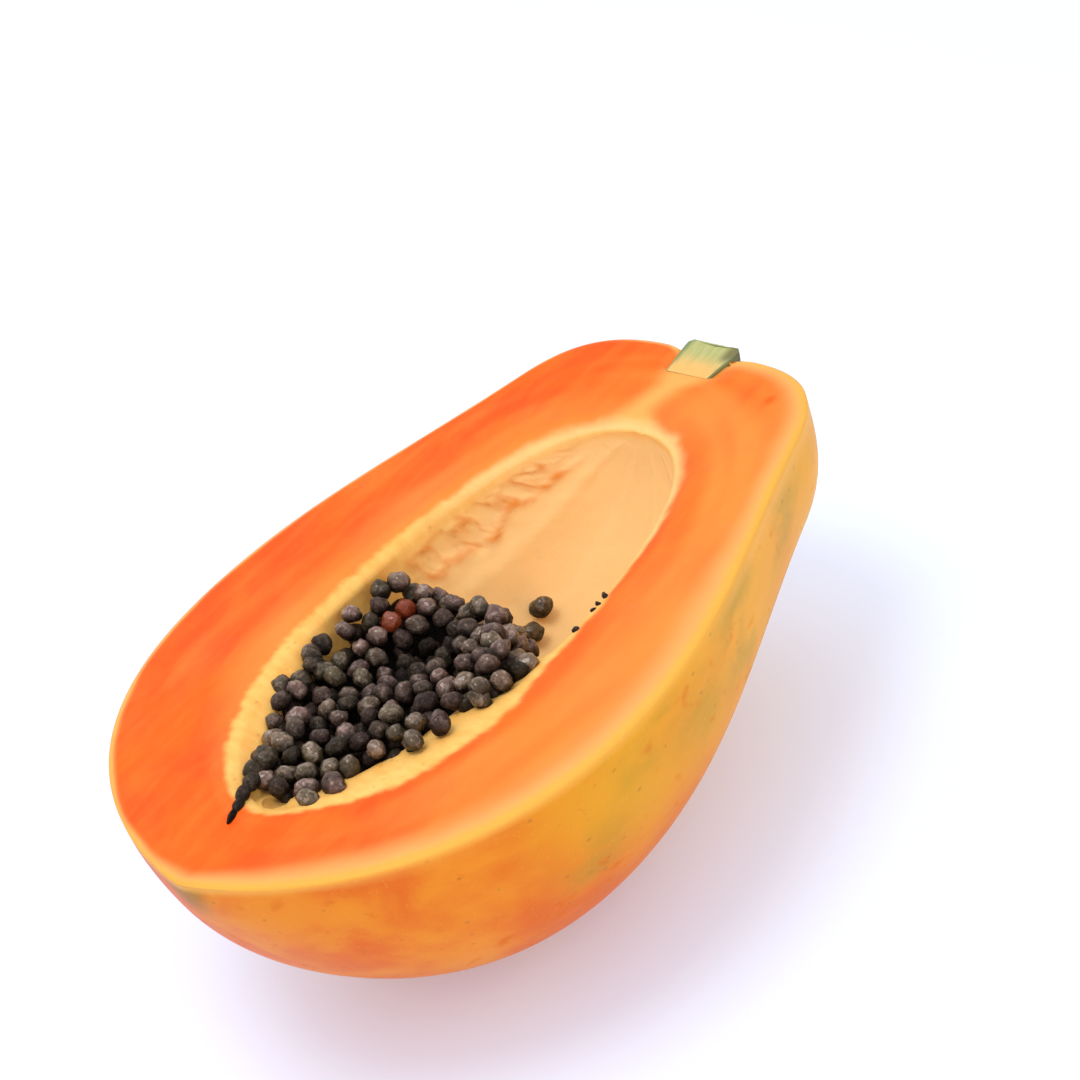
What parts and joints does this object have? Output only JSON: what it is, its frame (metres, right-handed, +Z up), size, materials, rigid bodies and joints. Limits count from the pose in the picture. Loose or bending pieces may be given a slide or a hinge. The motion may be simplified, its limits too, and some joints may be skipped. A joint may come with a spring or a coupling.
{
  "type": "papaya half",
  "caption": "Half of a ripe papaya cut lengthways, lying on its skin, with an open cavity, a heap of dark seeds and a stem stub.",
  "frame": {"origin": "centre of the bounding box at its lowest face, on the surface that the half rests on", "axes": "+X from the blossom tip to the stem, +Y across the fruit, +Z up, at right angles to the level cut face"},
  "size_m": [0.193, 0.1258, 0.0723],
  "materials": {
    "papaya_flesh_and_skin": "moist orange flesh with a pale lining, and a smooth waxy yellow-orange skin with green-brown patches",
    "papaya_seed": "dark brown-black, finely wrinkled, wet and glossy",
    "papaya_stem": "pale green cut fibre with a grey-green to brown rind"
  },
  "bodies": {
    "root": {"fruit_half": "papaya_flesh_and_skin", "seeds": "papaya_seed", "stem_stub": "papaya_stem", "stray_seed_1": "papaya_seed", "stray_seed_2": "papaya_seed"}
  },
  "joints": []
}
